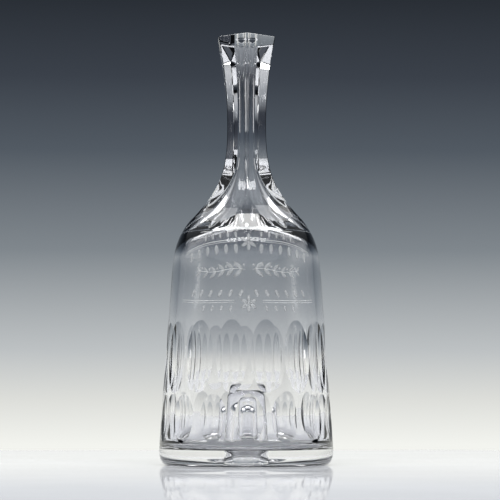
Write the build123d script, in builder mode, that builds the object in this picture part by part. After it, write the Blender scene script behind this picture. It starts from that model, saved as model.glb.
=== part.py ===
"""Bitters bottle: one piece of clear lead glass, blown with a kick-up base, then cut and polished.

The frame is +Z up with the origin at the centre of the foot, where the bottle stands. The neck's front
ridge and the engraved face of the body look along -Y. Lengths are millimetres.

The bottle is made in the order in which the real one is: the blown blank, six slices down the neck, the
polished ridges between them, two tiers of hollow-cut ovals round the body, then the inside and the
underside.
"""

import os

from build123d import *

# Blown blank, from the foot up
height = 210.0
heel_radius = 42.25
heel_height = 4.45
heel_inset = 1.2
heel_rise = 1.3
foot_inset = 3.95
wall_taper = 5.87
shoulder_height = 97.0
crown_rise = 17.0
stock_radius = 24.6

# Slices down the neck, hollow from rim to shoulder, and the ridges between them
slice_count = 6
rim_flat_radius = 14.0
waist_flat_radius = 9.5
waist_share = 0.53
runout_radius = 30.7
runout_rise = 1.2
runout_pull = 18.7
cove_shares = (0.427, 0.338)
ridge_share = 1.12
rim_bevel = 0.4

# Tiers of hollow-cut ovals, the upper one set half a step round
oval_count = 15
tier_height = 34.0
tier_gap = 0.2
upper_oval_width = 14.8
upper_oval_length = 34.3
lower_oval_width = 13.4
lower_oval_length = 22.7

# Mouth and bore
socket_radius = 2.75
socket_depth = 12.2
socket_lead = 0.5
bore_radius = 2.3

# Cavity of the body, by its wall's thickness where it is a wall
bell_radius = 17.5
bell_rise = 5.6
bell_share = 0.728
vault_wall = 5.1
vault_rise = 11.1
vault_fillet = 7.5
mid_wall = 3.17
mid_wall_height = 69.0
floor_wall = 5.4
floor_height = 7.5
floor_corner = 4.0

# Kick-up: the boss inside the body, and the hollow under it with its ground pontil
boss_top_radius = 8.9
boss_foot_radius = 10.9
boss_top_height = 34.8
boss_flare = 2.2
boss_bevel = 2.4
kick_wall = 3.4
kick_crown = 5.4
pontil_radius = 27.0
pontil_rise = 1.2

overrun = 5.0

# Places that follow from those sizes
front_angle = -90
oval_step = 360 / oval_count
crown_height = shoulder_height + crown_rise
runout_height = crown_height + runout_rise
waist_height = runout_height + waist_share * (height - runout_height)
cove_hold, cove_pull = (share * (waist_height - runout_height) for share in cove_shares)
bell_height = crown_height + bell_rise
bell_top = bell_height + bell_share * (waist_height - bell_height)
wall_low = Vector(heel_radius, heel_height)
wall_high = Vector(heel_radius - wall_taper, shoulder_height)
wall_slope = wall_taper / (shoulder_height - heel_height)


def neck_waste(share: float) -> Sketch:
    """Draw the region outside the slice's hollow line, with its radii times share."""
    waist = (share * waist_flat_radius, waist_height)
    with BuildSketch(Plane.XZ) as waste:
        with BuildLine():
            bevel = Line(
                (share * (rim_flat_radius - rim_bevel), height),
                (share * rim_flat_radius, height - rim_bevel),
            )
            Bezier(
                bevel @ 1,
                (share * waist_flat_radius, (waist_height + height) / 2),
                waist,
            )
            cove = Bezier(
                waist,
                (share * waist_flat_radius, waist_height - cove_hold),
                (share * (runout_radius - runout_pull), runout_height + cove_pull),
                (share * runout_radius, runout_height),
            )
            past = Line(cove @ 1, cove @ 1 + cove % 1 * heel_radius)
            lip = Line(bevel @ 0, bevel @ 0 - bevel % 0 * overrun)
            Polyline(lip @ 1, ((past @ 1).X, (lip @ 1).Y), past @ 1)
        make_face()
    return waste.sketch


def lap_ball(foot: float, length: float, width: float) -> Part:
    """Make the ball that hollows one tier, where it cuts the oval that faces +X from the height foot up.

    A ball cuts an oval out of a round wall, and the larger the ball, the longer that oval for its width,
    so the oval's length and width give the ball's radius.
    """
    lean = (wall_high - wall_low).normalized()
    middle = wall_low + lean * ((foot + length / 2 - heel_height) / lean.Y)
    radius = middle.X * ((length / width) ** 2 - 1)
    depth = length**2 / (8 * radius)
    centre = middle + Vector(lean.Y, -lean.X) * (radius - depth)
    with BuildPart(mode=Mode.PRIVATE) as ball:
        with Locations((centre.X, 0, centre.Y)):
            Sphere(radius)
    return ball.part


upper_ball = lap_ball(tier_height + tier_gap, upper_oval_length, upper_oval_width)
lower_foot = tier_height - tier_gap - lower_oval_length
lower_ball = lap_ball(lower_foot, lower_oval_length, lower_oval_width)
ridge_waste = neck_waste(ridge_share)

with BuildPart() as slice_wheel:
    extrude(neck_waste(1), amount=heel_radius, both=True)

with BuildPart() as bottle:
    # Blown blank, with its neck still a thick gather and its shoulder a ball centred on the axis
    with BuildSketch(Plane.XZ):
        with BuildLine():
            foot = Line((0, 0), (heel_radius - foot_inset, 0))
            Polyline(foot @ 1, (heel_radius - heel_inset, heel_rise), wall_low, wall_high)
            ball_middle = shoulder_height - wall_slope * wall_high.X
            ball_radius = wall_high.X * (1 + wall_slope**2) ** 0.5
            crown_radius = (ball_radius**2 - (crown_height - ball_middle) ** 2) ** 0.5
            crown = (crown_radius, crown_height)
            RadiusArc(wall_high, crown, -ball_radius)
            Polyline(crown, (stock_radius, waist_height), (stock_radius, height), (0, height))
            Line((0, height), foot @ 0)
        make_face()
    revolve(axis=Axis.Z)

    # Six slices with their rim's bevel, then the ridges left between them polished round
    with PolarLocations(0, slice_count):
        add(slice_wheel.part, mode=Mode.SUBTRACT)
    revolve(ridge_waste, axis=Axis.Z, mode=Mode.SUBTRACT)

    # Lower tier, with one of its ovals facing the front, and upper tier with one of its gaps there
    with PolarLocations(0, oval_count, start_angle=front_angle):
        add(lower_ball, mode=Mode.SUBTRACT)
    with PolarLocations(0, oval_count, start_angle=front_angle + oval_step / 2):
        add(upper_ball, mode=Mode.SUBTRACT)

    # Ground socket, bore and cavity
    with BuildSketch(Plane.XZ):
        with BuildLine():
            seat = height - socket_depth
            mouth = (socket_radius + socket_lead, height)
            lead = Polyline((0, height), mouth, (socket_radius, height - socket_lead))
            step = Polyline(lead @ 1, (socket_radius, seat), (bore_radius, seat - socket_lead))
            bore = Line(step @ 1, (bore_radius, bell_top))
            bell = TangentArc(bore @ 1, (bell_radius, bell_height), tangent=bore % 1)
            vault = (wall_high.X - vault_wall, shoulder_height + vault_rise)
            mid_radius = wall_high.X + wall_slope * (shoulder_height - mid_wall_height) - mid_wall
            side = FilletPolyline(bell @ 1, vault, (mid_radius, mid_wall_height), radius=vault_fillet)
            side_foot = (heel_radius - floor_wall, floor_height + floor_corner)
            floor_edge = (heel_radius - floor_wall - floor_corner, floor_height)
            flare_edge = (boss_foot_radius + boss_flare, floor_height)
            flare_top = (boss_foot_radius, floor_height + boss_flare)
            Polyline(side @ 1, side_foot, floor_edge, flare_edge, flare_top)
            boss_side = (boss_top_radius, boss_top_height - boss_bevel)
            boss_edge = (boss_top_radius - boss_bevel, boss_top_height)
            Polyline(flare_top, boss_side, boss_edge, (0, boss_top_height), lead @ 0)
        make_face()
    revolve(axis=Axis.Z, mode=Mode.SUBTRACT)

    # Hollow of the kick-up under its round crown, and the pontil ground round it
    with BuildSketch(Plane.XZ):
        with BuildLine():
            kick_radius = boss_top_radius - kick_wall
            kick_spring = boss_top_height - kick_crown - kick_radius
            kick_lip = (boss_foot_radius - kick_wall, pontil_rise)
            Polyline((0, 0), (pontil_radius, 0), kick_lip, (kick_radius, kick_spring))
            CenterArc((0, kick_spring), kick_radius, 0, 90)
            Line((0, kick_spring + kick_radius), (0, 0))
        make_face()
    revolve(axis=Axis.Z, mode=Mode.SUBTRACT)

bottle.part.label = "bottle"
os.makedirs("parts", exist_ok=True)
export_step(bottle.part, "parts/bottle.step")
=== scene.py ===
"""Bitters bottle of clear cut glass with a frosted engraving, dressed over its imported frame.

The real bottle is one piece of glass, so one closed mesh stands for the frame's single node, and each cut
in it is a formula. The engraving lies on the front as frosted marks a few hundredths of a millimetre high.

Lengths are metres and angles are radians unless a name says otherwise. Z is up, the origin is the middle of
the foot, and the engraved side looks along -Y.
"""

import logging
import math
from dataclasses import dataclass, field
from enum import Enum
from typing import Any, Callable, Iterable, Sequence

import bpy
import numpy as np
from mathutils import Euler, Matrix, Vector


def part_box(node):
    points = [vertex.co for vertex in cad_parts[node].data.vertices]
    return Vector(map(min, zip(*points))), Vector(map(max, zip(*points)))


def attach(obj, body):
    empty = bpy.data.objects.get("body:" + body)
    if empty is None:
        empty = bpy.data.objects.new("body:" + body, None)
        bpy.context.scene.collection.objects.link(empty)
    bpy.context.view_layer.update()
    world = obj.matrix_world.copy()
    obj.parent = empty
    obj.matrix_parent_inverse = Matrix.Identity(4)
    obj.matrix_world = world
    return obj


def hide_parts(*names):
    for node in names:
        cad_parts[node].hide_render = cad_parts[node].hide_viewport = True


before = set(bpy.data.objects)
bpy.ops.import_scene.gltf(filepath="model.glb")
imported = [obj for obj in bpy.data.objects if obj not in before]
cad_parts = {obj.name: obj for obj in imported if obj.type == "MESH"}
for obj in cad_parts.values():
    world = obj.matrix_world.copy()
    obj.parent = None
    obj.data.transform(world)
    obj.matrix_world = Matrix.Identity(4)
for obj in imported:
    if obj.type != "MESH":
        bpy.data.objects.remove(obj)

log = logging.getLogger("bottle")

MM = 0.001
FRONT = -math.pi / 2
Pair = tuple[float, float]


# Curves and grids


def bezier(points: Sequence[Pair], count: int) -> np.ndarray:
    """Sample a Bezier curve, whose points weigh binomial(n, k) * t**k * (1 - t)**(n - k), t from 0 to 1.

    Args:
        points: Control points, as radius and height.
        count: Number of samples.

    Returns:
        Rows of radius and height.
    """
    t = np.linspace(0, 1, count)[:, None]
    degree = len(points) - 1
    weights = [math.comb(degree, k) * t**k * (1 - t) ** (degree - k) for k in range(degree + 1)]
    return sum(weight * np.array(point) for weight, point in zip(weights, points))


def rounded_path(corners: Sequence[tuple[float, float, float]], steps: int) -> np.ndarray:
    """Run a profile through corners, rounded by arcs that start r * tan(a / 2) before a turn of a.

    Args:
        corners: Radius, height and fillet radius of each corner, 0 for a sharp one.
        steps: Points on each arc.

    Returns:
        Rows of radius and height.
    """
    place = np.array([corner[:2] for corner in corners], float)
    rows = [place[:1]]
    for before, here, after, (_, _, fillet) in zip(place, place[1:], place[2:], corners[1:]):
        if not fillet:
            rows.append(here[None])
            continue
        into, out = here - before, after - here
        into, out = into / np.linalg.norm(into), out / np.linalg.norm(out)
        turn = math.acos(float(np.clip(into @ out, -1, 1)))
        side = math.copysign(1.0, into[0] * out[1] - into[1] * out[0])
        normal = side * np.array([-into[1], into[0]])
        start = here - into * fillet * math.tan(turn / 2)
        angle = np.linspace(0, turn, steps)[:, None]
        rows.append(start + fillet * (np.sin(angle) * into + (1 - np.cos(angle)) * normal))
    rows.append(place[-1:])
    return np.vstack(rows)


def slide(share: np.ndarray, knots: Sequence[float], places: Sequence[np.ndarray]) -> np.ndarray:
    """Move even shares from 0 to 1 so that the knots land on their places, in proportion between them.

    Args:
        share: Even shares.
        knots: The shares that land on a place, rising.
        places: One array of places per knot.

    Returns:
        The moved shares.
    """
    marks = [0.0, *knots, 1.0]
    goals = [0.0, *places, 1.0]
    moved = 0 * share * goals[1]
    for start, end, low, high in zip(marks, marks[1:], goals, goals[1:]):
        inside = (share >= start) & (share <= end)
        moved = np.where(inside, low + (share - start) / (end - start) * (high - low), moved)
    return moved


def ease(value: np.ndarray, start: float, end: float) -> np.ndarray:
    """Rise smoothly from 0 at start to 1 at end, by 3t**2 - 2t**3."""
    t = np.clip((value - start) / (end - start), 0, 1)
    return t * t * (3 - 2 * t)


def fold(value: np.ndarray, period: float) -> np.ndarray:
    """Give the distance to the nearest multiple of a period, by min(v mod p, p - v mod p)."""
    rest = value % period
    return np.minimum(rest, period - rest)


def nearest(value: np.ndarray, period: float) -> np.ndarray:
    """Measure from the nearest multiple of a period, by (v + p / 2) mod p - p / 2."""
    return (value + period / 2) % period - period / 2


def round_grid(radius: np.ndarray, height: np.ndarray, angle: np.ndarray) -> np.ndarray:
    """Place radius, height and angle as x = r cos a, y = r sin a, z = h, row after row of points."""
    radius, height, angle = np.broadcast_arrays(radius, height, angle)
    return np.stack([radius * np.cos(angle), radius * np.sin(angle), height], axis=-1).reshape(-1, 3)


def ring_quads(first: int, rows: int, columns: int, flip: bool = False) -> np.ndarray:
    """Join the rows of a closed round grid by quads.

    Args:
        first: Number of the grid's first vertex.
        rows: Rows of the grid.
        columns: Vertices round each row.
        flip: Turns the faces to the axis, where rows go up.

    Returns:
        Four vertex numbers per quad.
    """
    row, column = np.meshgrid(np.arange(rows - 1), np.arange(columns), indexing="ij")
    here = first + row * columns + column
    beside = first + row * columns + (column + 1) % columns
    quads = np.stack([here, beside, beside + columns, here + columns], axis=-1).reshape(-1, 4)
    return quads[:, ::-1] if flip else quads


def cap_fan(ring: np.ndarray, pole: int, flip: bool = False) -> np.ndarray:
    """Close a ring on one pole vertex by triangles, turned over where flip is set."""
    triangles = np.stack([ring, np.roll(ring, -1), np.full_like(ring, pole)], axis=-1)
    return triangles[:, ::-1] if flip else triangles


def flat_join(fine: np.ndarray, coarse: np.ndarray, flip: bool = False) -> np.ndarray:
    """Join a fine outer ring to a coarse inner one in its plane by one polygon per coarse side.

    Args:
        fine: Vertex numbers of the outer ring, a whole multiple of the inner ring's.
        coarse: Vertex numbers of the inner ring.
        flip: False to face up, true to face down.

    Returns:
        One row of vertex numbers per polygon.
    """
    ratio = len(fine) // len(coarse)
    start = np.arange(len(coarse)) * ratio
    outside = fine[(start[:, None] + np.arange(ratio + 1)) % len(fine)]
    inside = np.stack([np.roll(coarse, -1), coarse], axis=-1)
    polygons = np.hstack([outside, inside])
    return polygons[:, ::-1] if flip else polygons


def make_piece(
    name: str,
    points: np.ndarray,
    faces: Iterable[np.ndarray],
    finish: bpy.types.Material,
    creases: np.ndarray | None = None,
) -> bpy.types.Object:
    """Turn arrays into a smooth-shaded object at the origin.

    Args:
        name: Name of the object and its mesh.
        points: Vertex places.
        faces: Arrays of vertex numbers, one per number of corners.
        finish: Material of the piece.
        creases: Pairs of vertex numbers of the sharp edges.

    Returns:
        The object, linked to the scene.
    """
    mesh = bpy.data.meshes.new(name)
    mesh.from_pydata(points.tolist(), [], [face for group in faces for face in group.tolist()])
    mesh.polygons.foreach_set("use_smooth", np.ones(len(mesh.polygons), bool))
    if creases is not None:
        ends = np.empty(2 * len(mesh.edges), int)
        mesh.edges.foreach_get("vertices", ends)
        both = (ends.reshape(-1, 2), creases)
        edge, crease = (np.sort(pairs, axis=1) @ [len(points), 1] for pairs in both)
        sharp = mesh.attributes.new("sharp_edge", "BOOLEAN", "EDGE")
        sharp.data.foreach_set("value", np.isin(edge, crease))
    mesh.materials.append(finish)
    mesh.update()
    piece = bpy.data.objects.new(name, mesh)
    bpy.context.scene.collection.objects.link(piece)
    return piece


# Material nodes


class Value:
    """A node's output socket that shader maths can be written with."""

    def __init__(self, tree: "Nodes", socket: bpy.types.NodeSocket) -> None:
        """Keep the tree that new Math nodes go into, and the socket."""
        self.tree = tree
        self.socket = socket

    def _math(self, operation: str, first: Any, second: Any) -> "Value":
        """Add a Math node of one operation on two values or numbers."""
        return self.tree.add("Math", {0: first, 1: second}, {"operation": operation})

    def __rsub__(self, other: Any) -> "Value":
        """Take this value away from a number."""
        return self._math("SUBTRACT", other, self)

    def __mul__(self, other: Any) -> "Value":
        """Multiply by a value or a number."""
        return self._math("MULTIPLY", self, other)

    def __or__(self, other: Any) -> "Value":
        """Join two masks by keeping the larger."""
        return self._math("MAXIMUM", self, other)

    __rmul__ = __mul__


class Nodes:
    """The node tree of one material or of the world, with one method that adds any node."""

    def __init__(self, owner: bpy.types.Material | bpy.types.World) -> None:
        """Switch the owner's nodes on and empty its tree."""
        owner.use_nodes = True
        self.tree = owner.node_tree
        self.tree.nodes.clear()

    def add(
        self,
        kind: str,
        inputs: dict[str | int, Any] | None = None,
        settings: dict[str, Any] | None = None,
        output: str | int = 0,
    ) -> Value:
        """Add one node.

        Args:
            kind: Blender's name for the node type, after ShaderNode.
            inputs: Sockets by name or number, each with a Value to link or a constant.
            settings: Properties that are set first, with stops for a colour ramp's.
            output: Name or number of the output to return.

        Returns:
            That output.
        """
        node = self.tree.nodes.new("ShaderNode" + kind)
        for key, setting in (settings or {}).items():
            if key == "stops":
                self._set_stops(node.color_ramp, setting)
            else:
                setattr(node, key, setting)
        for key, given in (inputs or {}).items():
            socket = node.inputs[key]
            if isinstance(given, Value):
                self.tree.links.new(given.socket, socket)
            else:
                socket.default_value = given
        return Value(self, node.outputs[output]) if len(node.outputs) else Value(self, None)

    @staticmethod
    def _set_stops(ramp: bpy.types.ColorRamp, stops: Sequence[tuple[float, tuple[float, ...]]]) -> None:
        """Give a ramp its stops, each a place from 0 to 1 and a colour."""
        while len(ramp.elements) < len(stops):
            ramp.elements.new(1.0)
        for element, (place, colour) in zip(ramp.elements, stops):
            element.position = place
            element.color = colour

    def noise(self, size: float, detail: float, roughness: float) -> Value:
        """Add noise in the piece's own space.

        Args:
            size: Size of its grains, about.
            detail: Number of finer layers.
            roughness: Share that each finer layer has of the last.

        Returns:
            The noise, from 0 to 1.
        """
        place = self.add("TexCoord", output="Object")
        inputs = {"Vector": place, "Scale": 1 / size, "Detail": detail, "Roughness": roughness}
        return self.add("TexNoise", inputs, {"noise_dimensions": "3D"})

    def carry(self, value: Value, span: Pair, onto: Pair = (0.0, 1.0), kind: str = "LINEAR") -> Value:
        """Carry a value from one span over to another, and hold it at both ends."""
        ends = {"From Min": span[0], "From Max": span[1], "To Min": onto[0], "To Max": onto[1]}
        return self.add("MapRange", {"Value": value, **ends}, {"interpolation_type": kind})

    def bump(self, height: Value, strength: float, distance: float) -> Value:
        """Bend the surface's normal by a height."""
        return self.add("Bump", {"Height": height, "Strength": strength, "Distance": distance})

    def principled(self, inputs: dict[str, Any], distribution: str = "MULTI_GGX") -> None:
        """Send a Principled shader with these inputs to the material's output."""
        shader = self.add("BsdfPrincipled", inputs, {"distribution": distribution})
        self.add("OutputMaterial", {"Surface": shader})


def new_material(name: str) -> tuple[bpy.types.Material, Nodes]:
    """Make a material of this name with an empty node tree."""
    material = bpy.data.materials.new(name)
    return material, Nodes(material)


def srgb(red: int, green: int, blue: int) -> tuple[float, float, float, float]:
    """Turn a colour of 0 to 255 per channel into the linear one that sockets take."""
    shares = np.array([red, green, blue]) / 255
    linear = np.where(shares <= 0.04045, shares / 12.92, ((shares + 0.055) / 1.055) ** 2.4)
    return (*linear.tolist(), 1.0)


@dataclass(frozen=True)
class GlassFinish:
    """Clear lead glass, hand polished: faint grey, nearly smooth, with the waves of an old blown wall."""

    name: str = "lead_glass"
    index: float = 1.54
    tint: tuple[int, int, int] = (253, 253, 254)
    wave_size: float = 22 * MM
    wave_height: float = 0.02 * MM
    lap_size: float = 1.6 * MM
    lap_span: Pair = (0.62, 0.85)
    lap_roughness: float = 0.012

    def material(self) -> bpy.types.Material:
        """Build the material: a wide noise bends the surface, a fine one roughens worn polish.

        Returns:
            The material.
        """
        material, nodes = new_material(self.name)
        waves = nodes.noise(self.wave_size, 1.0, 0.4)
        laps = nodes.noise(self.lap_size, 3.0, 0.6)
        inputs = {
            "Base Color": srgb(*self.tint),
            "Roughness": nodes.carry(laps, self.lap_span, (0.0, self.lap_roughness), "SMOOTHSTEP"),
            "IOR": self.index,
            "Transmission Weight": 1.0,
            "Normal": nodes.bump(waves, 1.0, self.wave_height),
        }
        nodes.principled(inputs, "GGX")
        return material


@dataclass(frozen=True)
class FrostFinish:
    """Wheel-cut glass left matt: milky, with the grain of the wheel and partly clear."""

    name: str
    cover: Pair
    colour: tuple[int, int, int] = (226, 229, 230)
    roughness: float = 0.62
    index: float = 1.5
    grain_size: float = 0.16 * MM
    grain_span: Pair = (0.3, 0.7)
    grain_depth: float = 0.02 * MM

    def material(self) -> bpy.types.Material:
        """Build the material: a fine noise varies how much the matt surface covers.

        Returns:
            The material.
        """
        material, nodes = new_material(self.name)
        grain = nodes.noise(self.grain_size, 2.0, 0.7)
        inputs = {
            "Base Color": srgb(*self.colour),
            "Roughness": self.roughness,
            "IOR": self.index,
            "Alpha": nodes.carry(grain, self.grain_span, self.cover),
            "Normal": nodes.bump(grain, 0.5, self.grain_depth),
        }
        nodes.principled(inputs)
        return material


# Cut glass


@dataclass
class Blank:
    """The blown blank, as a turned profile."""

    foot_radius: float
    heel_width: float = 4.85 * MM
    heel_height: float = 7.5 * MM
    heel_power: float = 2.5
    slope: float = 0.0684
    settle: float = 2.0 * MM
    shoulder_foot: float = 90.0 * MM
    shoulder_rise: float = 24.0 * MM
    shoulder_drop: float = 3.93 * MM
    shoulder_power: float = 3.3
    stock: float = 24.6 * MM

    def radius(self, height: np.ndarray) -> np.ndarray:
        """Give the blank's radius at each height.

        From the foot up: a heel whose inset shrinks by 1 - (1 - t**p)**(1 / p); a wall that settles into a
        straight line by an exponential; a shoulder that drops from that line as u**q, u being the share of
        its rise; and above it the shoulder's last slope, straight on to the neck's thick stock.

        Args:
            height: Heights, as an array of any shape.

        Returns:
            Radii of the same shape.
        """
        z = np.asarray(height, float)
        t = np.clip(1 - z / self.heel_height, 0, 1)
        heel = self.heel_width * (1 - (1 - t**self.heel_power) ** (1 / self.heel_power))
        rise = np.clip(z - self.heel_height, 0, None)
        lean = self.slope * (rise - self.settle * (1 - np.exp(-rise / self.settle)))
        share = np.clip((z - self.shoulder_foot) / self.shoulder_rise, 0, None)
        inside = np.minimum(share, 1)
        drop = inside**self.shoulder_power + self.shoulder_power * (share - inside)
        return np.maximum(self.foot_radius - heel - lean - self.shoulder_drop * drop, self.stock)


@dataclass
class NeckSlices:
    """Six hollow slices down the neck and the ridges polished round between them."""

    height: float
    count: int = 6
    rim: float = 14.0 * MM
    bevel: float = 0.4 * MM
    waist: float = 9.5 * MM
    waist_height: float = 165.44 * MM
    runout: float = 30.7 * MM
    runout_height: float = 115.2 * MM
    cove_hold: float = 21.45 * MM
    cove_pull: float = 16.98 * MM
    runout_pull: float = 18.7 * MM
    ridge_share: float = 1.14
    ridge_foot_share: float = 1.035
    ridge_foot: float = 113.0 * MM
    ridge_head: float = 134.0 * MM
    search_rise: float = 14.0 * MM

    def __post_init__(self) -> None:
        """Sample the slice's hollow line from the shoulder to the rim once."""
        foot, waist = (self.runout, self.runout_height), (self.waist, self.waist_height)
        pull = (self.runout - self.runout_pull, self.runout_height + self.cove_pull)
        hold = (self.waist, self.waist_height - self.cove_hold)
        swell = (self.waist, (self.waist_height + self.height) / 2)
        flare = bezier([waist, swell, (self.rim, self.height - self.bevel)], 80)
        past = (self.runout + self.runout_pull, self.runout_height - self.cove_pull)
        edge = (self.rim - self.bevel, self.height)
        self.line = np.vstack([past, bezier([foot, pull, hold, waist], 160), flare[1:], edge])

    def flat_distance(self, height: np.ndarray) -> np.ndarray:
        """Read the distance of a slice's middle from the axis off the hollow line."""
        return np.interp(height, self.line[:, 1], self.line[:, 0])

    def ridge(self, height: np.ndarray) -> np.ndarray:
        """Give the ridges' radius over the flats' distance, which falls towards the shoulder."""
        rise = ease(height, self.ridge_foot, self.ridge_head)
        return self.ridge_foot_share + (self.ridge_share - self.ridge_foot_share) * rise

    def offset(self, angle: np.ndarray) -> np.ndarray:
        """Measure angles from the nearest slice's middle, at a whole sixth of a turn from +X."""
        return nearest(angle, 2 * math.pi / self.count)

    def radius(self, angle: np.ndarray, height: np.ndarray) -> np.ndarray:
        """Give the flat's distance times the lesser of 1 / cos d, d off its middle, and a ridge's share."""
        return self.flat_distance(height) * np.minimum(1 / np.cos(self.offset(angle)), self.ridge(height))

    def crease_height(self, blank: Blank, angle: np.ndarray) -> np.ndarray:
        """Find where the slices run out on the shoulder.

        There the blank's radius over the flat's distance, which grows with the height, reaches 1 / cos d or
        the ridge's share, whichever comes first.

        Args:
            blank: The blank they are cut in.
            angle: Angles round the axis.

        Returns:
            Heights of the crease.
        """
        z = np.linspace(self.runout_height - self.search_rise, self.runout_height + self.search_rise, 900)
        ratio = blank.radius(z) / self.flat_distance(z)
        flat = np.interp(1 / np.cos(self.offset(angle)), ratio, z)
        round_ridge = float(np.interp(0, ratio - self.ridge(z), z))
        return np.minimum(flat, round_ridge)


@dataclass
class OvalTier:
    """One tier of hollow-cut ovals, ground by the rounded rim of a wheel."""

    blank: Blank
    foot: float
    length: float
    width: float
    first_angle: float
    count: int = 15
    hollow: float = 33.0 * MM

    def __post_init__(self) -> None:
        """Set the wheel where it leaves an oval of this length and width in the wall."""
        self.top = self.foot + self.length
        middle = self.foot + self.length / 2
        low, mid, high = self.blank.radius(np.array([self.foot, middle, self.top]))
        lean = math.hypot(self.length, high - low)
        along, out = self.length / lean, (high - low) / lean
        swell = mid - (low + high) / 2
        depth = self.width**2 / 8 * (1 / self.hollow + 1 / mid)
        self.wheel = self.length**2 / (8 * (depth - swell))
        self.hub_radius = mid + along * (self.wheel - depth)
        self.hub_height = middle - out * (self.wheel - depth)

    def surface(self, offset: np.ndarray, height: np.ndarray) -> np.ndarray:
        """Give the radius of the wheel's rim beside the middle of its oval.

        At a distance y across, the rim's radius q is wheel - hollow + sqrt(hollow**2 - y**2), and it lies
        at x = hub - sqrt(q**2 - (z - hub height)**2). With y = r sin d and x = r cos d, repeats settle r.

        Args:
            offset: Angles from the oval's middle.
            height: Heights that fit the angles.

        Returns:
            Radii.
        """
        reach = self.hub_radius - np.sqrt(self.wheel**2 - (height - self.hub_height) ** 2)
        radius = reach + 0 * offset
        for _ in range(8):
            across = radius * np.sin(offset)
            q = self.wheel - self.hollow + np.sqrt(self.hollow**2 - across**2)
            radius = (self.hub_radius - np.sqrt(q**2 - (height - self.hub_height) ** 2)) / np.cos(offset)
        return radius

    def spans(self, height: np.ndarray) -> np.ndarray:
        """Say which heights lie between the tier's foot and its top."""
        return (height > self.foot) & (height < self.top)

    def half_angle(self, height: np.ndarray) -> np.ndarray:
        """Find by halving the angle at which the rim meets the wall.

        Args:
            height: Heights, as a row.

        Returns:
            Angles from the oval's middle, 0 where the wheel doesn't cut.
        """
        wall = self.blank.radius(height)
        low, high = np.zeros_like(height), np.full_like(height, math.pi / self.count)
        for _ in range(30):
            middle = (low + high) / 2
            cuts = self.surface(middle, height) < wall
            low, high = np.where(cuts, middle, low), np.where(cuts, high, middle)
        return low

    def cut(self, radius: np.ndarray, angle: np.ndarray, height: np.ndarray) -> np.ndarray:
        """Take the tier's ovals out of the wall, as the smaller of the wall's radius and the rim's.

        Args:
            radius: Radii of the wall.
            angle: Angles round the axis.
            height: Heights.

        Returns:
            Radii of the cut wall.
        """
        offset = nearest(angle - self.first_angle, 2 * math.pi / self.count)
        rim = self.surface(offset, np.clip(height, self.foot, self.top))
        return np.where(self.spans(height), np.minimum(radius, rim), radius)


@dataclass
class Cavity:
    """The inside: ground socket, bore, bell, body and the floor with its kick-up boss."""

    height: float
    foot_radius: float
    socket: Pair = (2.75 * MM, 12.2 * MM)
    lead: float = 0.5 * MM
    bore: float = 2.3 * MM
    bell_top: float = 153.0 * MM
    bell: Pair = (17.5 * MM, 119.6 * MM)
    vault: tuple[float, float, float] = (31.95 * MM, 107.7 * MM, 18.0 * MM)
    side: tuple[float, float, float] = (34.6 * MM, 69.0 * MM, 300.0 * MM)
    floor_wall: float = 5.4 * MM
    floor: float = 7.5 * MM
    floor_fillet: float = 5.0 * MM
    boss_foot: float = 10.9 * MM
    boss_top: float = 8.9 * MM
    boss_height: float = 34.8 * MM
    boss_fillet: float = 3.6 * MM
    boss_hub: float = 0.6 * MM
    pontil: float = 27.0 * MM
    lip_rise: float = 1.2 * MM
    lip_fillet: float = 2.5 * MM
    kick_wall: float = 3.4 * MM
    kick_crown: float = 5.4 * MM
    pole_gap: float = 0.1

    def profile(self) -> tuple[np.ndarray, list[int]]:
        """Run down the inside from the lip of the mouth to the top of the boss.

        The bell is an arc that starts upright at the bore. Below it, lines run to rounded corners.

        Returns:
            Rows of radius and height, and the numbers of the sharp rows.
        """
        radius, seat = self.socket[0], self.height - self.socket[1]
        mouth = [(radius + self.lead, self.height), (radius, self.height - self.lead)]
        mouth += [(radius, seat), (self.bore, seat - self.lead)]
        run, drop = self.bell[0] - self.bore, self.bell_top - self.bell[1]
        sweep = (run**2 + drop**2) / (2 * run)
        turn = np.linspace(0, math.asin(drop / sweep), 26)[:, None]
        bell = np.hstack([self.bore + sweep * (1 - np.cos(turn)), self.bell_top - sweep * np.sin(turn)])
        corners = [
            (*self.bell, 0.0),
            self.vault,
            self.side,
            (self.foot_radius - self.floor_wall, self.floor, self.floor_fillet),
            (self.boss_foot, self.floor, self.floor_fillet / 2),
            (self.boss_top, self.boss_height, self.boss_fillet),
            (self.boss_hub, self.boss_height, 0.0),
        ]
        return np.vstack([mouth, bell, rounded_path(corners, 9)[1:]]), [0, 1, 2, 3]

    def underside(self) -> np.ndarray:
        """Run from the pontil's edge into the hollow of the kick-up, which is round at its top.

        Returns:
            Rows of radius and height, up to an angle of pole_gap short of the axis.
        """
        inner = self.boss_top - self.kick_wall
        spring = self.boss_height - self.kick_crown - inner
        turn = np.linspace(0, math.pi / 2 - self.pole_gap, 12)[:, None]
        dome = np.hstack([inner * np.cos(turn), spring + inner * np.sin(turn)])
        edge = (self.boss_foot - self.kick_wall, self.lip_rise, self.lip_fillet)
        lip = rounded_path([(self.pontil, 0.0, 0.0), edge, (inner, spring, 0.0)], 7)
        return np.vstack([lip[:-1], dome])


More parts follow.
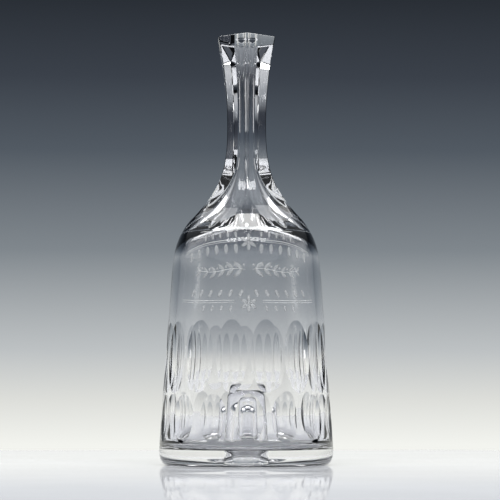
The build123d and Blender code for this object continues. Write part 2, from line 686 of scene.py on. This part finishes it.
@dataclass
class CutGlass:
    """The whole bottle as one closed mesh."""

    half_cell: int = 20
    inner_columns: int = 120
    lower_index: int = 7
    upper_index: int = 13
    ridge_index: int = 6
    least_share: float = 0.13
    tier_height: float = 34.0 * MM
    tier_gap: float = 0.2 * MM
    tier_fade: float = 9.0 * MM
    plain_foot: float = 80.0 * MM
    warp: Pair = (107.0 * MM, 128.0 * MM)
    lower_oval: Pair = (22.7 * MM, 13.4 * MM)
    upper_oval: Pair = (34.3 * MM, 14.8 * MM)
    low: Vector = field(default_factory=lambda: Vector(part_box("bottle")[0]))
    high: Vector = field(default_factory=lambda: Vector(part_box("bottle")[1]))

    def __post_init__(self) -> None:
        """Set up the blank and its cuts from the frame's own height and foot."""
        self.height = self.high.z
        self.blank = Blank(min(abs(value) for value in (*self.low.xy, *self.high.xy)))
        self.slices = NeckSlices(self.height)
        self.cavity = Cavity(self.height, self.high.x)
        foot = self.tier_height - self.tier_gap - self.lower_oval[0]
        self.lower = OvalTier(self.blank, foot, *self.lower_oval, FRONT)
        foot = self.tier_height + self.tier_gap
        self.upper = OvalTier(self.blank, foot, *self.upper_oval, FRONT + math.pi / self.lower.count)
        self.columns = 2 * self.lower.count * self.half_cell
        self.rows, self.names = self.row_heights()
        self.low_column, self.high_column = self._column_places(self.rows)

    def row_heights(self) -> tuple[np.ndarray, dict[str, int]]:
        """List the heights of the outside's rows, closer where it bends, before the run-out warps them.

        Returns:
            The heights, and the numbers of the rows that have a name.
        """
        blank, upper, lower, slices = self.blank, self.upper, self.lower, self.slices
        warp_foot, warp_top = self.warp
        turn = np.linspace(0, math.pi / 2, 11)
        runs: list[tuple[str, np.ndarray]] = [
            ("foot", blank.heel_height * (1 - np.cos(turn))),
            ("heel", np.linspace(blank.heel_height, lower.foot, 5)),
            ("lower_foot", self._oval_rows(lower, 23)),
            ("lower_top", np.linspace(lower.top, upper.foot, 2)),
            ("upper_foot", self._oval_rows(upper, 29)),
            ("upper_top", np.linspace(upper.top, self.plain_foot, 8)),
            ("plain", np.linspace(self.plain_foot, blank.shoulder_foot, 3)),
            ("shoulder", np.linspace(blank.shoulder_foot, warp_foot, 12)),
            ("above", np.linspace(warp_foot, slices.runout_height, 9)),
            ("crease", np.linspace(slices.runout_height, warp_top, 12)),
            ("cove", np.linspace(warp_top, slices.waist_height, 16)),
            ("waist", np.linspace(slices.waist_height, self.height - slices.bevel, 18)),
            ("bevel", np.array([self.height - slices.bevel, self.height])),
        ]
        names, rows = {}, []
        for name, run in runs:
            names[name] = sum(len(part) for part in rows)
            rows.append(run[:-1])
        rows.append(np.array([self.height]))
        names["rim"] = sum(len(part) for part in rows) - 1
        return np.concatenate(rows), names

    @staticmethod
    def _oval_rows(tier: OvalTier, count: int) -> np.ndarray:
        """Space rows over a tier by 1 - cos t, so that they crowd at both tips."""
        return tier.foot + tier.length * (1 - np.cos(np.linspace(0, math.pi, count))) / 2

    def _column_places(self, rows: np.ndarray) -> tuple[np.ndarray, np.ndarray]:
        """Say where the two columns that follow the ovals' edges run, in shares of a half cell.

        A half cell goes from the middle of a lower oval, at 0, to the middle of an upper one, at 1. Inside
        a tier one column keeps to the oval's edge, down to a least share at its tips, and the other keeps
        clear. Above and below the tiers both ease back to where even columns have them.

        Args:
            rows: Heights of the rows.

        Returns:
            The places of the lower and the upper column, at each row.
        """
        cell = math.pi / self.lower.count
        low_even, high_even = self.lower_index / self.half_cell, self.upper_index / self.half_cell
        least, fade = self.least_share, self.upper.top + self.tier_fade
        in_lower, in_upper = self.lower.spans(rows), self.upper.spans(rows)
        edge = np.where(in_lower, np.maximum(self.lower.half_angle(rows) / cell, least), least)
        far = np.where(in_upper, 1 - np.maximum(self.upper.half_angle(rows) / cell, least), 1 - least)
        low = np.where(in_upper, np.minimum(least, far * low_even / high_even), edge)
        clear = 1 - (1 - edge) * (1 - high_even) / (1 - low_even)
        high = np.where(in_lower, np.maximum(1 - least, clear), far)
        weight = ease(rows, 0, self.lower.foot) * (1 - ease(rows, self.upper.top, fade))
        return low_even + weight * (low - low_even), high_even + weight * (high - high_even)

    def outside(self) -> np.ndarray:
        """Work out the outer surface as a grid of rows and columns.

        Columns are even round the axis, then slide so that one runs along each oval's edge and one along
        each side of a ridge. The row of the run-out rises and falls with the slices' crease, and the rows
        between the two heights of warp go with it in proportion.

        Returns:
            Vertex places, row after row.
        """
        rows, names, blank, slices = self.rows, self.names, self.blank, self.slices
        even = np.arange(self.columns) / self.half_cell
        level = rows[:, None]

        cell = math.pi / self.lower.count
        knots = (self.lower_index / self.half_cell, self.upper_index / self.half_cell)
        moved = slide(fold(even, 2), knots, (self.low_column[:, None], self.high_column[:, None]))
        turned = 2 * np.floor(even / 2) + np.where(even % 2 <= 1, moved, 2 - moved)
        angle = FRONT + cell * turned

        sixth = math.pi / self.slices.count
        around = cell * even
        near = fold(around, 2 * sixth) / sixth
        band_share = self.ridge_index * cell / self.half_cell / sixth
        band = 1 - np.arccos(1 / self.slices.ridge(level)) / sixth
        slid = slide(near, (band_share,), (band,)) - near
        neck_weight = ease(level, blank.shoulder_foot, slices.runout_height)
        angle = angle + neck_weight * sixth * np.where(around % (2 * sixth) <= sixth, slid, -slid)

        crease = slices.crease_height(blank, angle)
        start, runout, end = rows[names["above"]], rows[names["crease"]], rows[names["cove"]]
        below = start + (level - start) * (crease - start) / (runout - start)
        above = end - (end - level) * (end - crease) / (end - runout)
        between = np.where(level <= runout, below, above)
        level = np.where((level > start) & (level < end), between, level)

        radius = blank.radius(level)
        radius = np.where(level > start, np.minimum(radius, slices.radius(angle, level)), radius)
        radius = self.upper.cut(radius, angle, level)
        radius = self.lower.cut(radius, angle, level)
        return round_grid(radius, level, angle)

    def _creases(self) -> np.ndarray:
        """List the sharp edges of the outside: three rings, then runs up the columns.

        Returns:
            Pairs of vertex numbers.
        """
        rows, names, columns = self.rows, self.names, self.columns
        number = np.arange(columns)
        pairs = []
        for name in ("crease", "bevel", "rim"):
            ring = names[name] * columns + number
            pairs.append(np.stack([ring, np.roll(ring, -1)], axis=-1))
        mirrored = fold(number, 2 * self.half_cell)
        from_ridge = fold(number, columns // self.slices.count)
        in_lower, in_upper = self.lower.spans(rows), self.upper.spans(rows)
        runs = (
            (mirrored == self.lower_index, in_lower & (self.low_column > self.least_share)),
            (mirrored == self.upper_index, in_upper & (self.high_column < 1 - self.least_share)),
            (from_ridge == self.ridge_index, np.arange(len(rows)) >= names["crease"]),
        )
        for column_mask, row_mask in runs:
            both = np.flatnonzero(row_mask[:-1] & row_mask[1:])
            start = both[:, None] * columns + number[column_mask]
            pairs.append(np.stack([start, start + columns], axis=-1).reshape(-1, 2))
        return np.vstack(pairs)

    def build(self, finish: bpy.types.Material) -> bpy.types.Object:
        """Join outside, inside and underside into one closed piece.

        Args:
            finish: Material of the glass.

        Returns:
            The bottle.
        """
        outer, creases = self.outside(), [self._creases()]
        columns = self.columns
        outer_rows = len(outer) // columns
        angle = FRONT + np.arange(self.inner_columns) * 2 * math.pi / self.inner_columns
        profile, sharp_rows = self.cavity.profile()
        inner = round_grid(profile[:, :1], profile[:, 1:], angle)
        lip = self.cavity.underside()
        under = round_grid(lip[:, :1], lip[:, 1:], angle)
        tops = (self.cavity.boss_height, self.cavity.boss_height - self.cavity.kick_crown)
        poles = np.array([[0, 0, top] for top in tops])
        first_inner = len(outer)
        first_under = first_inner + len(inner)
        first_pole = first_under + len(under)
        ring = np.arange(self.inner_columns)
        fine = np.arange(columns)
        faces = [
            ring_quads(0, outer_rows, columns),
            flat_join((outer_rows - 1) * columns + fine, first_inner + ring),
            ring_quads(first_inner, len(profile), self.inner_columns),
            cap_fan(first_under - self.inner_columns + ring, first_pole),
            flat_join(fine, first_under + ring, flip=True),
            ring_quads(first_under, len(lip), self.inner_columns, flip=True),
            cap_fan(first_pole - self.inner_columns + ring, first_pole + 1, flip=True),
        ]
        for row in sharp_rows:
            sharp = first_inner + row * self.inner_columns + ring
            creases.append(np.stack([sharp, np.roll(sharp, -1)], axis=-1))
        points = np.vstack([outer, inner, under, poles])
        log.info("cut_glass: %d vertices", len(points))
        return make_piece("cut_glass", points, faces, finish, np.vstack(creases))


# Engraving


class Shape(Enum):
    """Outline of one wheel-cut mark, as the power that narrows it towards its tips."""

    OVAL = 0.5
    LEAF = 1.0


@dataclass(frozen=True)
class Mark:
    """One short cut: where its middle lies, its length, width and lean, and its outline."""

    across: float
    up: float
    length: float
    width: float
    lean: float = math.pi / 2
    shape: Shape = Shape.OVAL


Part = tuple[np.ndarray, list[np.ndarray]]
Length = np.ndarray | float


@dataclass
class Engraving:
    """Frosted border, rosettes and laurel on the front, laid on the blank's surface.

    A size without a unit is a share of the length of its petal, sprig or leaf, or an angle.
    """

    blank: Blank
    spread: float = math.radians(55)
    top: float = 106.0 * MM
    top_drop: float = 5.2 * MM
    foot: float = 77.3 * MM
    foot_rise: float = 1.3 * MM
    stem: float = 91.6 * MM
    stem_reach: float = 26.0 * MM
    stem_wave: float = 0.7 * MM
    stem_turn: float = 2.2 * math.pi
    line_width: float = 0.42 * MM
    tip: float = 0.06
    lift: float = 0.012 * MM
    dome: float = 0.03 * MM
    spokes: int = 12
    rings: int = 2
    petal_width: float = 0.5
    petal_place: float = 0.62
    eye: float = 0.34
    sprig_width: float = 0.44
    leaf_width: float = 0.36
    leaf_place: float = 0.4
    leaf_lean: float = 0.72
    leaf_loss: float = 0.45
    leaf_start: float = 0.7
    berry: float = 0.2
    berry_place: float = 0.34

    def __post_init__(self) -> None:
        """Roll the drawing round the wall's radius at its middle, which sets the borders' half length."""
        self.middle_radius = float(self.blank.radius(np.array((self.top + self.foot) / 2)))
        self.half = self.spread * self.middle_radius

    def on_glass(self, across: Length, up: Length, lift: Length) -> np.ndarray:
        """Lay a flat drawing on the glass: an angle from the front is a distance across over the radius.

        Args:
            across: Distances from the front's middle line, along the surface.
            up: Heights.
            lift: Distances above the glass.

        Returns:
            Places as rows of x, y and z.
        """
        angle = FRONT + across / self.middle_radius
        out = self.blank.radius(up) + lift
        return np.stack([out * np.cos(angle), out * np.sin(angle), up], axis=-1)

    def mark_mesh(self, mark: Mark) -> Part:
        """Make a mark as a low dome, closed below by one polygon.

        A ring at a share s of the outline has its point at an angle a at along = s cos a and across =
        s sin a * |sin a|**(2 * power - 1), so a power of 0.5 is an ellipse and a larger one a leaf. The
        dome's height falls as 1 - s**2.

        Args:
            mark: The mark.

        Returns:
            Its vertex places and its faces.
        """
        turn = np.linspace(0, 2 * math.pi, self.spokes, endpoint=False)
        share = np.arange(1, self.rings + 1)[:, None] / self.rings
        along = share * np.cos(turn) * mark.length / 2
        bend = np.sin(turn) * np.abs(np.sin(turn)) ** (2 * mark.shape.value - 1)
        beside = share * bend * mark.width / 2
        across = mark.across + along * np.cos(mark.lean) - beside * np.sin(mark.lean)
        up = mark.up + along * np.sin(mark.lean) + beside * np.cos(mark.lean)
        dome = self.on_glass(across, up, self.lift + self.dome * (1 - share**2))
        middle = self.on_glass(mark.across, mark.up, self.lift + self.dome)
        ring = 1 + np.arange(self.spokes)
        back = ring[None, ::-1] + (self.rings - 1) * self.spokes
        faces = [cap_fan(ring, 0), ring_quads(1, self.rings, self.spokes, flip=True), back]
        return np.vstack([middle, dome.reshape(-1, 3)]), faces

    def line_mesh(self, across: np.ndarray, up: np.ndarray, width: float) -> Part:
        """Run one cut along a path as a strip, with a ridge down its middle and its sides half a width off.

        The width falls towards nothing at both ends, as the fourth root of a sine.

        Args:
            across: Distances of the path's points from the front's middle line.
            up: Their heights.
            width: Width of the cut.

        Returns:
            Its vertex places and its faces.
        """
        path = np.stack([across, up], axis=-1)
        direction = np.gradient(path, axis=0)
        direction /= np.linalg.norm(direction, axis=1)[:, None]
        taper = np.sin(np.linspace(self.tip, math.pi - self.tip, len(path))) ** 0.25
        reach = (width / 2 * taper)[:, None] * direction[:, ::-1] * [-1, 1]
        sides = ((1, 0.0), (0, self.dome), (-1, 0.0))
        rows = [self.on_glass(*(path + way * reach).T, self.lift + rise) for way, rise in sides]
        last = 3 * (len(path) - 1)
        ends = np.array([[0, 1, 2], [last + 2, last + 1, last]])
        return np.stack(rows, axis=1).reshape(-1, 3), [ring_quads(0, len(path), 3, flip=True), ends]

    def rosette(self, up: float, petal: float) -> list[Mark]:
        """Set six oval petals round a small eye.

        Args:
            up: Height of the eye.
            petal: Length of a petal.

        Returns:
            The petals and the eye.
        """
        turns = [math.pi / 6 + k * math.pi / 3 for k in range(6)]
        out, width, eye = self.petal_place * petal, self.petal_width * petal, self.eye * petal
        petals = [Mark(out * math.cos(a), up + out * math.sin(a), petal, width, a) for a in turns]
        return [*petals, Mark(0.0, up, eye, eye)]

    def top_line(self, across: Length) -> Length:
        """Give the top border's height, which drops by the cube of the distance towards its ends."""
        return self.top - self.top_drop * (np.abs(across) / self.half) ** 3

    def foot_line(self, across: Length) -> Length:
        """Give the lower border's height, which rises by the distance's fourth power towards its ends."""
        return self.foot + self.foot_rise * (np.abs(across) / self.half) ** 4

    def sprigs(
        self, line: Callable, shift: float, places: Iterable[float], length: float, lean: float
    ) -> list[Mark]:
        """Set short ovals along a border and mirrored.

        Args:
            line: Gives the border's height at a distance across.
            shift: How far their middles lie above it.
            places: How far they lie from the front's middle line.
            length: Their length.
            lean: Their lean from upright, outwards.

        Returns:
            The ovals.
        """
        width = self.sprig_width * length
        return [
            Mark(side * place, line(place) + shift, length, width, math.pi / 2 - side * lean)
            for place in places
            for side in (-1, 1)
        ]

    def laurel(self, up: float, reach: float, count: int, leaf: float) -> list[Mark]:
        """Grow pairs of leaves along both halves of a stem, smaller towards its tips.

        Args:
            up: Height of the stem.
            reach: Half length of the stem.
            count: Pairs of leaves on each half.
            leaf: Length of the largest leaf.

        Returns:
            The leaves and the berries between them.
        """
        marks = []
        for k in range(count):
            share = (k + self.leaf_start) / count
            size = leaf * (1 - self.leaf_loss * share)
            width, out, berry = self.leaf_width * size, self.leaf_place * size, self.berry * leaf
            root = up + self.stem_rise(share)
            for side in (-1, 1):
                for lean in (-self.leaf_lean, self.leaf_lean):
                    across = side * (share * reach + out * math.cos(lean))
                    turn = lean if side > 0 else math.pi - lean
                    leaf_up = root + out * math.sin(lean)
                    marks.append(Mark(across, leaf_up, size, width, turn, Shape.LEAF))
                across = side * (share * reach - berry / 2)
                marks.append(Mark(across, root + self.berry_place * size, berry, berry))
        return marks

    def stem_rise(self, share: Length) -> Length:
        """Lift the laurel's stem by a shallow wave along its half length."""
        return self.stem_wave * np.sin(self.stem_turn * share)

    def build(self, fine: bpy.types.Material, broad: bpy.types.Material) -> list[bpy.types.Object]:
        """Draw the engraving as six pieces.

        Args:
            fine: Material of the fine lines.
            broad: Material of the broad, shallow cuts.

        Returns:
            The pieces.
        """
        stem = np.linspace(1.6 * MM, self.stem_reach, 50)
        stem_up = self.stem + self.stem_rise(stem / self.stem_reach)
        borders = ((self.top_line, 5.6 * MM, 0.9 * MM, 0.6), (self.foot_line, 6.4 * MM, 1.0 * MM, 0.8))
        lines = []
        for side in (-1, 1):
            for line, gap, apart, thin in borders:
                across = np.linspace(gap, self.half, 60)
                lines.append((side * across, line(across), self.line_width))
                lines.append((side * across, line(across) - apart, thin * self.line_width))
        hatch = [
            Mark(side * place, self.foot_line(place) - 0.5 * MM, 2.2 * MM, width=0.45 * MM, lean=1.1)
            for place in np.arange(24.5, 33.5, 1.3) * MM
            for side in (-1, 1)
        ]
        rosettes = [*self.rosette(105.0 * MM, petal=3.7 * MM), *self.rosette(75.6 * MM, petal=3.6 * MM)]
        sprigs = [
            *self.sprigs(self.top_line, 2.7 * MM, np.arange(6.6, 26, 4.1) * MM, 3.2 * MM, 0.25),
            *self.sprigs(self.top_line, -4.1 * MM, np.arange(6.2, 31, 4.9) * MM, 4.9 * MM, 0.12),
            *self.sprigs(self.foot_line, 3.3 * MM, np.arange(3.6, 29, 4.9) * MM, 4.0 * MM, -0.5),
            *self.sprigs(self.foot_line, -3.8 * MM, np.arange(8.2, 25, 4.5) * MM, 3.0 * MM, -0.3),
        ]
        laurel = self.laurel(self.stem - 0.2 * MM, reach=25.5 * MM, count=6, leaf=6.6 * MM)
        strips = [self.line_mesh(side * stem, stem_up, 0.34 * MM) for side in (-1, 1)]
        groups = {
            "engraved_border": (fine, [self.line_mesh(*line) for line in lines]),
            "engraved_hatch": (broad, map(self.mark_mesh, hatch)),
            "engraved_rosettes": (broad, map(self.mark_mesh, rosettes)),
            "engraved_sprigs": (broad, map(self.mark_mesh, sprigs)),
            "engraved_laurel": (broad, map(self.mark_mesh, laurel)),
            "engraved_stem": (fine, strips),
        }
        return [self.join(name, finish, list(parts)) for name, (finish, parts) in groups.items()]

    @staticmethod
    def join(name: str, finish: bpy.types.Material, parts: list[Part]) -> bpy.types.Object:
        """Join parts into one piece, each part's vertex numbers following on from the last.

        Args:
            name: Name of the piece.
            finish: Its material.
            parts: Vertex places and faces of each part.

        Returns:
            The piece.
        """
        start = np.cumsum([0, *(len(points) for points, _ in parts)])
        faces = [face + first for first, (_, group) in zip(start, parts) for face in group]
        log.info("%s: %d parts", name, len(parts))
        return make_piece(name, np.vstack([points for points, _ in parts]), faces, finish)


# Studio

Stop = tuple[float, tuple[int, int, int]]

# Colours by the sine of the elevation: up the backdrop, up the dark room before it, and overhead
GRADE: tuple[Stop, ...] = (
    (-0.0185, (243, 244, 239)),
    (0.0093, (221, 222, 218)),
    (0.0405, (189, 193, 195)),
    (0.103, (128, 135, 141)),
    (0.165, (82, 90, 99)),
    (0.21, (59, 65, 74)),
    (0.256, (42, 47, 54)),
)
ROOM: tuple[Stop, ...] = ((-0.04, (82, 86, 93)), (0.116, (58, 62, 70)), (0.3, (48, 52, 60)))
CEILING: tuple[Stop, ...] = (
    (0.334, (50, 54, 62)),
    (0.48, (140, 145, 151)),
    (0.69, (190, 193, 197)),
    (1.0, (205, 207, 210)),
)


class Seen(Enum):
    """The rays that show the backdrop's own colours."""

    CAMERA = "Is Camera Ray"
    GLOSSY = "Is Glossy Ray"
    TRANSMITTED = "Is Transmission Ray"


@dataclass
class Studio:
    """Pale round table, graded sheet and world, soft lamps and the camera at the photograph's angle."""

    table_radius: float = 370 * MM
    table_thickness: float = 8 * MM
    table_gap: float = 0.08 * MM
    table_columns: int = 180
    table_colour: tuple[int, int, int] = (227, 229, 233)
    table_hub: float = 2 * MM
    under_share: float = 0.98
    dust_size: float = 1 / 9
    dust_span: Pair = (0.3, 0.7)
    gloss: Pair = (0.8, 0.68)
    lens: float = 114.77
    distance: float = 779.9 * MM
    eye_height: float = 24.0 * MM
    tilt_degrees: float = 5.91
    turn_degrees: float = -1.8
    pan_degrees: float = 0.133
    plain_level: float = 0.3
    plain_colour: tuple[int, int, int] = (246, 247, 250)
    sheet_place: float = 330 * MM
    sheet_half: float = 1200 * MM
    sheet_span: Pair = (-30 * MM, 325 * MM)
    room_span: Pair = (0.1, -0.4)
    aim_height: float = 100 * MM
    bounces: int = 28
    clear_bounces: int = 24

    def table(self) -> None:
        """Turn the table top as a flat disc with a round edge, pale, and glossy where no dust lies."""
        material, nodes = new_material("pale_acrylic")
        dust = nodes.noise(self.dust_size, 3.0, 0.5)
        inputs = {
            "Base Color": srgb(*self.table_colour),
            "Roughness": 0.6,
            "Specular IOR Level": 0.0,
            "Coat Weight": nodes.carry(dust, self.dust_span, self.gloss),
            "Coat Roughness": 0.05,
        }
        nodes.principled(inputs)
        thickness, columns, edge = self.table_thickness, self.table_columns, self.table_thickness / 2
        corners = [
            (self.table_hub, 0.0, 0.0),
            (self.table_radius, 0.0, edge),
            (self.table_radius, -thickness, self.under_share * edge),
            (self.table_hub, -thickness, 0.0),
        ]
        profile = rounded_path(corners, 8)
        ring = np.arange(columns)
        points = round_grid(profile[:, :1], profile[:, 1:], ring * 2 * math.pi / columns)
        points = np.vstack([points, [[0, 0, 0], [0, 0, -thickness]]]) - [0, 0, self.table_gap]
        last = (len(profile) - 1) * columns
        faces = [
            ring_quads(0, len(profile), columns, flip=True),
            cap_fan(ring, len(points) - 2),
            cap_fan(last + ring, len(points) - 1, flip=True),
        ]
        make_piece("table", points, faces, material)

    @staticmethod
    def seen(nodes: Nodes) -> Value:
        """Give 1 for the rays that show the backdrop and 0 for the rest."""
        camera, glossy, transmitted = (nodes.add("LightPath", output=ray.value) for ray in Seen)
        return camera | glossy | transmitted

    @staticmethod
    def graded(nodes: Nodes, height: Value, stops: Sequence[Stop]) -> Value:
        """Colour a surface by height.

        Args:
            nodes: Tree that the nodes go into.
            height: Height at each point.
            stops: Heights and the colours there, rising. Between two of them the colour blends.

        Returns:
            The colour.
        """
        low, high = stops[0][0], stops[-1][0]
        places = [((place - low) / (high - low), srgb(*colour)) for place, colour in stops]
        share = nodes.carry(height, (low, high))
        return nodes.add("ValToRGB", {"Fac": share}, {"stops": places}, "Color")

    def sheet(self) -> None:
        """Stand the graded sheet behind the bottle, so near that glass shifts its image only a little.

        The camera sees a grade's sine s at the height eye + reach * s / sqrt(1 - s**2), reach being the way
        to the sheet. Only the rays that show the backdrop see it, and only from its front.
        """
        reach = self.distance + self.sheet_place
        stops = [(self.eye_height + reach * s / math.sqrt(1 - s**2), tone) for s, tone in GRADE]
        material, nodes = new_material("graded_sheet")
        place = nodes.add("TexCoord", output="Object")
        height = nodes.add("SeparateXYZ", {"Vector": place}, output="Z")
        colour = self.graded(nodes, height, stops)
        glow = nodes.add("Emission", {"Color": colour, "Strength": 1.0})
        clear = nodes.add("BsdfTransparent")
        shown = self.seen(nodes) * (1 - nodes.add("NewGeometry", output="Backfacing"))
        mixed = nodes.add("MixShader", {"Fac": shown, 1: clear, 2: glow})
        nodes.add("OutputMaterial", {"Surface": mixed})
        side, (foot, top) = self.sheet_half * np.array([-1, 1, 1, -1]), self.sheet_span
        points = np.stack([side, np.full(4, self.sheet_place), [foot, foot, top, top]], axis=-1)
        make_piece("sheet", points, [np.array([[0, 1, 2, 3]])], material)

    def backdrop(self) -> None:
        """Grade the world by the sine of the elevation for the rays that show it, plain for the rest.

        Behind the bottle it carries on from the sheet and grows light overhead. On the camera's side it is
        a dark room under the same light ceiling.
        """
        world = bpy.data.worlds.new("studio")
        bpy.context.scene.world = world
        nodes = Nodes(world)
        direction = {"Vector": nodes.add("TexCoord", output="Generated")}
        height, depth = (nodes.add("SeparateXYZ", direction, output=axis) for axis in "ZY")
        behind, before = (
            nodes.add("Background", {"Color": self.graded(nodes, height, (*low, *CEILING))})
            for low in (GRADE, ROOM)
        )
        front = nodes.carry(depth, self.room_span, kind="SMOOTHSTEP")
        shown = nodes.add("MixShader", {"Fac": front, 1: behind, 2: before})
        dim = {"Color": srgb(*self.plain_colour), "Strength": self.plain_level}
        plain = nodes.add("Background", dim)
        mixed = nodes.add("MixShader", {"Fac": self.seen(nodes), 1: plain, 2: shown})
        nodes.add("OutputWorld", {"Surface": mixed})

    def softbox(self, name: str, place: Sequence[float], size: Pair, power: float) -> None:
        """Hang an area lamp that faces the bottle's middle.

        Args:
            name: Name of the lamp.
            place: Where it hangs.
            size: Width and height of its face.
            power: Power in watts.
        """
        lamp = bpy.data.lights.new(name, "AREA")
        lamp.shape = "RECTANGLE"
        lamp.size, lamp.size_y = size
        lamp.energy = power
        holder = bpy.data.objects.new(name, lamp)
        holder.location = place
        aim = Vector((0, 0, self.aim_height)) - Vector(place)
        holder.rotation_euler = aim.to_track_quat("-Z", "Y").to_euler()
        holder.visible_camera = False
        bpy.context.scene.collection.objects.link(holder)

    def lamps(self) -> None:
        """Light the bottle by a strip over the camera, a wide box behind it and two small ones a side."""
        self.softbox("overhead", (0.0, -0.4, 0.9), (0.9, 0.24), 7.6)
        self.softbox("rear", (0.0, 0.45, 0.85), (1.2, 0.5), 3.6)
        for side in (-1, 1):
            self.softbox("neck_side", (side * 0.9, 0.05, 0.42), (0.6, 0.19), 0.3)
            self.softbox("foot_side", (side * 0.9, 0.1, 0.085), (0.12, 0.06), 0.03)

    def camera(self) -> None:
        """Put the camera where the photograph was taken and aim it by its tilt and heading."""
        data = bpy.data.cameras.new("camera")
        data.lens = self.lens
        data.sensor_width = 36.0
        data.clip_start = 0.01
        turn = math.radians(self.turn_degrees)
        heading = -turn + math.radians(self.pan_degrees)
        camera = bpy.data.objects.new("camera", data)
        across, back = self.distance * math.sin(turn), self.distance * math.cos(turn)
        camera.location = (across, -back, self.eye_height)
        camera.rotation_euler = Euler((math.radians(90 + self.tilt_degrees), 0, -heading))
        bpy.context.scene.collection.objects.link(camera)
        bpy.context.scene.camera = camera

    def build(self) -> None:
        """Set up the table, backdrop, lamps, camera and colour management."""
        scene = bpy.context.scene
        scene.view_settings.view_transform = "Standard"
        scene.cycles.max_bounces = scene.cycles.transmission_bounces = self.bounces
        scene.cycles.transparent_max_bounces = self.clear_bounces
        self.table()
        self.backdrop()
        self.sheet()
        self.lamps()
        self.camera()
        log.info("studio: table, backdrop, sheet, lamps and camera")


def main() -> None:
    """Build the bottle, its engraving and the studio, and tie each piece to the frame."""
    logging.basicConfig(level=logging.INFO, format="%(name)s: %(message)s")
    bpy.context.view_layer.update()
    glass = CutGlass()
    bottle = glass.build(GlassFinish().material())
    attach(bottle, "root")
    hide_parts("bottle")
    fine = FrostFinish("frosted_line", (0.6, 0.9)).material()
    broad = FrostFinish("frosted_cut", (0.26, 0.54)).material()
    for piece in Engraving(glass.blank).build(fine, broad):
        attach(piece, "root")
    Studio().build()


if __name__ == "__main__":
    main()
